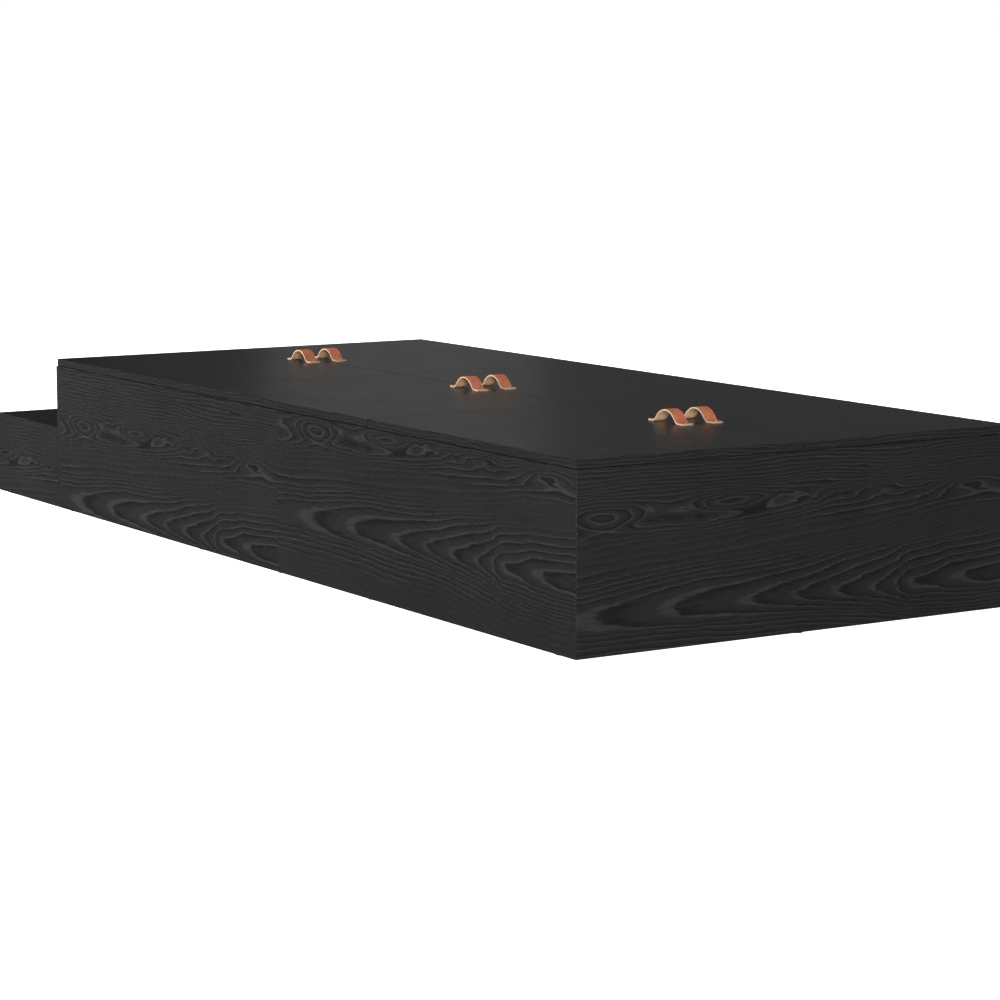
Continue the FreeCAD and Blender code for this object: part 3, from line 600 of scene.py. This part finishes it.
def strap_outline(width):
    """Cross-section of the strap: points (across, up) and the face after each one."""
    half, top = width / 2, STRAP / 2
    outline = []

    def corner(side_across, side_up, first):
        for i in range(CORNER_STEPS + 1):
            turn = math.radians(first - 90 * i / CORNER_STEPS)
            across = side_across * (half - CORNER) + CORNER * math.cos(turn)
            up = side_up * (top - CORNER) + CORNER * math.sin(turn)
            outline.append((across, up, "edge"))

    corner(-1, 1, 180)
    groove = half - CREASE_INSET
    outline[-1] = (*outline[-1][:2], "face")
    for centre in (-groove, groove):
        for shift, depth in ((-CREASE_HALF_WIDTH, 0), (0, CREASE_DEPTH), (CREASE_HALF_WIDTH, 0)):
            outline.append((centre + shift, top - depth, "face"))
        if centre < 0:
            for share in (-0.5, 0, 0.5):
                outline.append((share * half, top, "face"))
    corner(1, 1, 90)
    corner(1, -1, 0)
    outline[-1] = (*outline[-1][:2], "back")
    for share in (0.5, 0, -0.5):
        outline.append((share * half, -top, "back"))
    corner(-1, -1, -90)
    return outline


def strap_mesh(name, centre, span, rise, width, screws):
    """The bent strap as one closed mesh, standing on the lid."""
    mesh = bmesh.new()
    stations = strap_path(span, rise)
    outline = strap_outline(width)
    kinds = {"face": 0, "edge": 1, "back": 2}
    rings = []
    for place, normal in stations:
        to_tip = span / 2 - abs(place.x)
        short = max(0.0, TIP_RADIUS - to_tip)
        narrow = TIP_RADIUS - math.sqrt(TIP_RADIUS ** 2 - short ** 2)
        squeeze = 1 - 2 * narrow / width
        ring = []
        for across, up, kind in outline:
            point = place + normal * up
            point.y = across * squeeze
            if kind == "face" and to_tip < 2 * FOOT:
                reach = min((point - screw).length for screw in screws) / DIMPLE_RADIUS
                if reach < 1:
                    point -= normal * DIMPLE_DEPTH * (1 - reach * reach) ** 2
            ring.append(mesh.verts.new(centre + point))
        rings.append(ring)
    count = len(outline)
    for before, after in zip(rings, rings[1:]):
        for i, (_, _, kind) in enumerate(outline):
            j = (i + 1) % count
            face = mesh.faces.new((before[i], before[j], after[j], after[i]))
            face.material_index = kinds[kind]
    for ring in (rings[0], list(reversed(rings[-1]))):
        tip = mesh.faces.new(list(reversed(ring)))
        tip.material_index = kinds["edge"]
    bmesh.ops.recalc_face_normals(mesh, faces=mesh.faces)
    data = bpy.data.meshes.new(name)
    mesh.to_mesh(data)
    mesh.free()
    for polygon in data.polygons:
        polygon.use_smooth = True
    data.set_sharp_from_angle(angle=SHARP_EDGE)
    return data


def make_loops():
    """A strap for each lid, in place of the plain CAD one. Its screws keep their places."""
    materials = (leather_face(), leather_cut_edge(), leather_suede())
    for body in frame["bodies"]:
        node = body + "_loop"
        if node not in frame["nodes"]:
            continue
        low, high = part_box(node)
        centre = Vector(((low.x + high.x) / 2, (low.y + high.y) / 2, low.z + STRAP / 2))
        span, width, rise = high.x - low.x, high.y - low.y, high.z - low.z - STRAP
        screws = [Vector((side * (span - FOOT) / 2, 0, STRAP / 2)) for side in (-1, 1)]
        data = strap_mesh(node + "_strap", centre, span, rise, width, screws)
        for material in materials:
            data.materials.append(material)
        strap = bpy.data.objects.new(node + "_strap", data)
        bpy.context.scene.collection.objects.link(strap)
        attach(strap, body)
        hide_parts(node)


# --------------------------------------------------------------------- studio

BED_MIDDLE = (0, 0, 0.2)
CAMERA_PLACE = Vector((5.0060, -3.0118, 0.9161))
CAMERA_HEADING = math.radians(57.786)
CAMERA_DROP = math.radians(8.112)
CAMERA_LENS = 106.91
SENSOR_WIDTH = 36.0
SIGHT = (0.05, 200.0)      # nearest and furthest thing that the camera sees

FLOOR_REACH = 60.0
FLOOR_GLOW = 1.3
BACKDROP_RADIUS = 48.0
CARD_DISTANCE = 9.0
CARD_HEIGHTS = (0.15, 2.2)
# Strength of each card behind the bed, and its left and right edge seen from
# the camera, in degrees from the view's middle.
CARDS = {
    "reflection_card_left": (0.048, 7.7, 4.53),
    "reflection_card": (0.186, 4.53, -0.79),
    "reflection_card_right": (0.083, -0.79, -11.0),
}

# Place, power, size and whether the bed mirrors it, for each soft box.
SOFT_BOXES = {
    "key": ((-3.3, -3.9, 1.1), 610, (4.0, 2.5), False),
    "back": ((-2.5, 6.0, 2.0), 330, (4.0, 2.5), False),
    "fill": ((5.5, -2.3, 1.0), 220, (2.0, 1.2), True),
}
# Brightness of the studio round the bed: (upward share of the direction, grey).
SKY_BY_HEIGHT = [(0.0, (0.01,) * 3), (0.35, (0.015,) * 3), (0.6, (0.20,) * 3), (1.0, (0.60,) * 3)]


def make_camera():
    data = bpy.data.cameras.new("camera")
    data.lens = CAMERA_LENS
    data.sensor_width = SENSOR_WIDTH
    data.clip_start, data.clip_end = SIGHT
    camera = bpy.data.objects.new("camera", data)
    camera.location = CAMERA_PLACE
    camera.rotation_euler = (math.pi / 2 - CAMERA_DROP, 0, CAMERA_HEADING)
    bpy.context.scene.collection.objects.link(camera)
    bpy.context.scene.camera = camera


def glow(name, strength):
    material, tree = new_material(name)
    light = tree.node("Emission", {"Color": (1, 1, 1, 1), "Strength": strength})
    tree.node("OutputMaterial", {"Surface": light.outputs[0]})
    return material


def stage_object(name, data, material, seen_by):
    """A floor, backdrop or card that isn't part of the bed, seen only by these kinds of ray."""
    data.materials.append(material)
    made = bpy.data.objects.new(name, data)
    bpy.context.scene.collection.objects.link(made)
    for kind in ("camera", "diffuse", "glossy", "transmission", "shadow"):
        setattr(made, "visible_" + kind, kind in seen_by)


def make_floor():
    """A matt white floor that glows a little."""
    material, tree = new_material("studio_floor")
    glowing = tree.node("Emission", {"Color": (1, 1, 1, 1), "Strength": FLOOR_GLOW})
    matt = tree.node("BsdfDiffuse", {"Color": (0.8, 0.8, 0.8, 1)})
    both = tree.node("AddShader", {0: glowing.outputs[0], 1: matt.outputs[0]})
    tree.node("OutputMaterial", {"Surface": both.outputs[0]})
    corners = [(x * FLOOR_REACH, y * FLOOR_REACH, 0) for x, y in ((-1, -1), (1, -1), (1, 1), (-1, 1))]
    data = bpy.data.meshes.new("studio_floor")
    data.from_pydata(corners, [], [(0, 1, 2, 3)])
    stage_object("studio_floor", data, material, ("camera", "diffuse"))


def make_backdrop():
    """A white dome round everything, seen only by the camera."""
    dome = bmesh.new()
    bmesh.ops.create_uvsphere(dome, u_segments=48, v_segments=24, radius=BACKDROP_RADIUS)
    data = bpy.data.meshes.new("studio_backdrop")
    dome.to_mesh(data)
    dome.free()
    stage_object("studio_backdrop", data, glow("studio_backdrop", 1.0), ("camera",))


def make_reflection_cards():
    """Pale cards behind the bed that the lids mirror as soft bands."""
    bottom, top = CARD_HEIGHTS
    for name, (strength, left, right) in CARDS.items():
        corners = []
        for turn in (left, right):
            heading = CAMERA_HEADING + math.radians(turn)
            x = CAMERA_PLACE.x - math.sin(heading) * CARD_DISTANCE
            y = CAMERA_PLACE.y + math.cos(heading) * CARD_DISTANCE
            corners += [(x, y, bottom), (x, y, top)]
        data = bpy.data.meshes.new(name)
        data.from_pydata(corners, [], [(0, 2, 3, 1)])
        stage_object(name, data, glow(name, strength), ("glossy",))


def make_soft_boxes():
    """Area lamps that face the bed."""
    for name, (place, power, size, mirrored) in SOFT_BOXES.items():
        data = bpy.data.lights.new(name, "AREA")
        data.shape = "RECTANGLE"
        data.size, data.size_y = size
        data.energy = power
        lamp = bpy.data.objects.new(name, data)
        lamp.location = place
        lamp.rotation_euler = (Vector(BED_MIDDLE) - Vector(place)).to_track_quat("-Z", "Y").to_euler()
        lamp.visible_glossy = mirrored
        bpy.context.scene.collection.objects.link(lamp)


def make_sky():
    """A dim studio that is pale only overhead."""
    world = bpy.data.worlds.new("studio")
    world.use_nodes = True
    world.node_tree.nodes.clear()
    tree = Tree(world.node_tree)
    direction = tree.node("TexCoord").outputs["Generated"]
    sky = tree.ramp(tree.split(direction)[2], SKY_BY_HEIGHT)
    light = tree.node("Background", {"Color": sky, "Strength": 1.0})
    tree.node("OutputWorld", {"Surface": light.outputs[0]})
    bpy.context.scene.world = world


make_camera()
make_floor()
make_backdrop()
make_reflection_cards()
make_sky()
make_soft_boxes()
bpy.context.scene.view_settings.view_transform = "Standard"
face_boards_in_oak()
finish_fittings()
make_loops()
